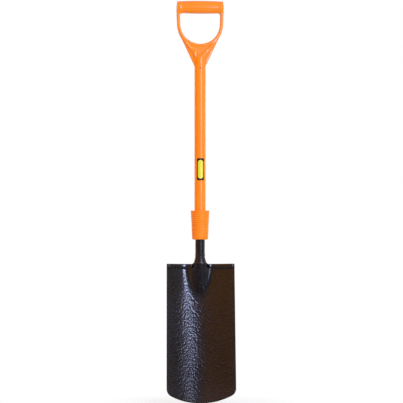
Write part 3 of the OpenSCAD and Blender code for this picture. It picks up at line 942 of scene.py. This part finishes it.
def wrapPatch(width, low, high, corner, rise, shape=labelShape):  # a thin rounded patch round the shaft
    share = np.linspace(0, 1, shape["rows"] + 1)
    z = low + (high - low) * (1 - np.cos(math.pi * share)) / 2
    nearEnd = np.clip(corner - np.minimum(z - low, high - z), 0, corner)
    half = width / 2 - corner + np.sqrt(np.maximum(corner ** 2 - nearEnd ** 2, shape["tip"] ** 2))
    columns = np.linspace(-1, 1, shape["columns"] + 1)
    count = len(columns)
    arc = (half[:, None] * columns[None]).ravel()
    heights = np.repeat(z, count)

    def wrap(radius):
        way = arc / sheathRadius
        return np.stack([radius * np.sin(way), shaftY - radius * np.cos(way), heights], 1)

    front = wrap(sheathRadius + rise)
    back = wrap(sheathRadius - shape["foot"])
    start = len(front)
    faces = [(r * count + c, r * count + c + 1, (r + 1) * count + c + 1, (r + 1) * count + c)
             for r in range(len(z) - 1) for c in range(count - 1)]
    faces += [tuple(start + i for i in face[::-1]) for face in faces]
    loop = gridRim(len(z), count)
    for i, j in zip(loop, loop[1:] + loop[:1]):
        faces.append((j, i, start + i, start + j))
    return np.concatenate([front, back]), faces


def makeLabelBase(shape=labelShape):
    return wrapPatch(shape["width"], labelLow[2], labelHigh[2], shape["corner"], shape["baseRise"])


def makeLabelField(shape=labelShape):
    low, high = labelLow[2] + shape["fieldInset"], labelHigh[2] - shape["fieldInset"]
    return wrapPatch(shape["fieldWidth"], low, high, shape["fieldWidth"] / 2, shape["fieldRise"])


newPiece("label_base", *makeLabelBase(), labelBlack, "label", ["label"])
newPiece("label_field", *makeLabelField(), labelYellow, "label")

for node, material in (("shaft_tube", tubePaint), ("shank_pin", steel)):
    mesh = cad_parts[node].data
    mesh.materials.clear()
    mesh.materials.append(material)
print("stage: pin, label and carried-over parts made")


# Floor, light and camera, in metres, with the paper's specks in mm

floorShape = {
    "radius": 1.2, "sides": 96, "drop": 0.001, "fadeFrom": 0.1, "fadeTo": 0.3, "clear": 0.76,
    "colour": (0.9, 0.9, 0.9), "speck": 3.0, "speckDetail": 3, "speckColour": (0.873, 0.873, 0.873),
    "rough": 0.9, "specular": 0.1,
}


def makeFloor(shape=floorShape):
    turn = fullTurn(shape["sides"])
    rim = np.stack([shape["radius"] * np.cos(turn), shape["radius"] * np.sin(turn), np.zeros(len(turn))], 1)
    mesh = bpy.data.meshes.new("floor")
    mesh.from_pydata(rim.tolist(), [], [list(range(len(turn)))])
    floor = addObject("floor", mesh)
    floor.location = (0, 0, -shape["drop"])
    material, tree, surface = emptyMaterial("floorPaper")
    shader = tree.nodes.new("ShaderNodeBsdfPrincipled")
    speck = noiseOf(tree, shape["speck"], shape["speckDetail"])
    tree.links.new(mixOf(tree, speck, shape["colour"], shape["speckColour"]), shader.inputs["Base Color"])
    shader.inputs["Roughness"].default_value = shape["rough"]
    shader.inputs["Specular IOR Level"].default_value = shape["specular"]
    place = tree.nodes.new("ShaderNodeTexCoord")
    length = tree.nodes.new("ShaderNodeVectorMath")
    length.operation = "LENGTH"
    tree.links.new(place.outputs["Object"], length.inputs[0])
    fade = rangeOf(tree, length.outputs["Value"], shape["fadeFrom"], shape["fadeTo"], shape["clear"], 1)
    clear = tree.nodes.new("ShaderNodeBsdfTransparent")
    mix = tree.nodes.new("ShaderNodeMixShader")
    tree.links.new(fade, mix.inputs[0])
    tree.links.new(shader.outputs["BSDF"], mix.inputs[1])
    tree.links.new(clear.outputs["BSDF"], mix.inputs[2])
    tree.links.new(mix.outputs["Shader"], surface)
    mesh.materials.append(material)


makeFloor()

lampLook = {"distance": 2.0, "colour": (0.56, 0.62, 1.0)}
lampShape = {
    "high": dict(lampLook, angle=20.5, height=1.28, size=(0.28, 0.96), power=26.5),
    "middle": dict(lampLook, angle=20.7, height=0.645, size=(0.28, 0.31), power=14.2),
    "foot": dict(lampLook, angle=21.3, height=0.23, size=(0.16, 0.28), power=2.15),
}
rearLook = {"distance": 3.0, "colour": (1.0, 0.96, 0.9)}
cardLook = {"distance": 5.0}
cardShape = {
    "warm": dict(cardLook, angle=-25.0, height=1.75, size=(5.2, 3.5), colour=(1.0, 0.46, 0.14), glow=1.45),
    "side": dict(cardLook, angle=-100.0, height=1.75, size=(6.8, 4.3), colour=(1.0, 0.33, 0.12), glow=1.25),
    "dark": dict(distance=5.05, angle=9.5, height=1.75, size=(1.1, 3.5), colour=(1.0, 0.86, 0.92), glow=0.42),
    "left": dict(cardLook, angle=42.5, height=0.0, size=(2.2, 1.36), colour=(1.0, 0.7, 0.8), glow=0.42),
    "low": dict(distance=4.9, angle=0.0, height=-1.8, size=(11.8, 3.6), colour=(1.0, 0.95, 1.1), glow=0.2),
    "back": dict(rearLook, angle=175.0, height=1.3, size=(3.6, 2.5), glow=0.4),
    "rearLeft": dict(rearLook, angle=-140.0, height=1.5, size=(1.2, 2.4), glow=3.0),
    "rearRight": dict(rearLook, angle=132.0, height=1.5, size=(1.2, 2.4), glow=3.0),
}


def faceSpade(holder, shape):  # stands it beside the spade, unseen and turned to it
    angle = math.radians(shape["angle"])
    place = Vector((math.sin(angle), -math.cos(angle), 0)) * shape["distance"]
    aim = -place
    place.z = shape["height"]
    holder.location = place
    holder.rotation_euler = aim.to_track_quat("-Z", "Y").to_euler()
    holder.visible_camera = False


def addLamp(name, shape):
    lamp = bpy.data.lights.new(name, "AREA")
    lamp.shape = "RECTANGLE"
    lamp.size, lamp.size_y = shape["size"]
    lamp.energy = shape["power"]
    lamp.color = shape["colour"]
    faceSpade(addObject(name, lamp), shape)


def addCard(name, shape):  # a glowing panel that the gloss paint mirrors
    wide, high = (size / 2 for size in shape["size"])
    corners = [(-wide, -high, 0), (wide, -high, 0), (wide, high, 0), (-wide, high, 0)]
    mesh = bpy.data.meshes.new(name)
    mesh.from_pydata(corners, [], [(3, 2, 1, 0)])
    material, tree, surface = emptyMaterial(name)
    glow = tree.nodes.new("ShaderNodeEmission")
    glow.inputs["Color"].default_value = (*shape["colour"], 1)
    glow.inputs["Strength"].default_value = shape["glow"]
    tree.links.new(glow.outputs["Emission"], surface)
    mesh.materials.append(material)
    card = addObject(name, mesh)
    faceSpade(card, shape)


for name, shape in lampShape.items():
    addLamp(name + "Lamp", shape)
for name, shape in cardShape.items():
    addCard(name + "Card", shape)

worldShape = {"ambient": 0.56, "background": 1.0}  # soft light, and the white that is seen
world = bpy.data.worlds.new("studio")
bpy.context.scene.world = world
world.use_nodes = True
tree = world.node_tree
tree.nodes.clear()
path = tree.nodes.new("ShaderNodeLightPath")
seen = path.outputs["Is Camera Ray"]
for ray in ("Is Glossy Ray", "Is Transmission Ray"):
    seen = mathOf(tree, "MAXIMUM", seen, path.outputs[ray])
mix = tree.nodes.new("ShaderNodeMixShader")
tree.links.new(seen, mix.inputs[0])
for slot, strength in ((1, worldShape["ambient"]), (2, worldShape["background"])):
    white = tree.nodes.new("ShaderNodeBackground")
    white.inputs["Color"].default_value = (1, 1, 1, 1)
    white.inputs["Strength"].default_value = strength
    tree.links.new(white.outputs["Background"], mix.inputs[slot])
output = tree.nodes.new("ShaderNodeOutputWorld")
tree.links.new(mix.outputs["Shader"], output.inputs["Surface"])

cameraShape = {
    "angle": -5.0, "distance": 6.0, "aimHeight": 0.5183, "aimAside": 0.0037, "lens": 208.15, "sensor": 36.0,
}
camera = bpy.data.cameras.new("photoCamera")
camera.lens = cameraShape["lens"]
camera.sensor_width = cameraShape["sensor"]
camera.sensor_fit = "HORIZONTAL"
cameraHolder = addObject("photoCamera", camera)
angle = math.radians(cameraShape["angle"])
aside = Vector((math.cos(angle), math.sin(angle), 0)) * cameraShape["aimAside"]
aim = Vector((0, shaftY * mm, cameraShape["aimHeight"])) + aside
cameraHolder.location = aim + Vector((math.sin(angle), -math.cos(angle), 0)) * cameraShape["distance"]
cameraHolder.rotation_euler = (aim - cameraHolder.location).to_track_quat("-Z", "Y").to_euler()
bpy.context.scene.camera = cameraHolder
bpy.context.scene.view_settings.view_transform = "Standard"
print("stage: floor, light and camera made")
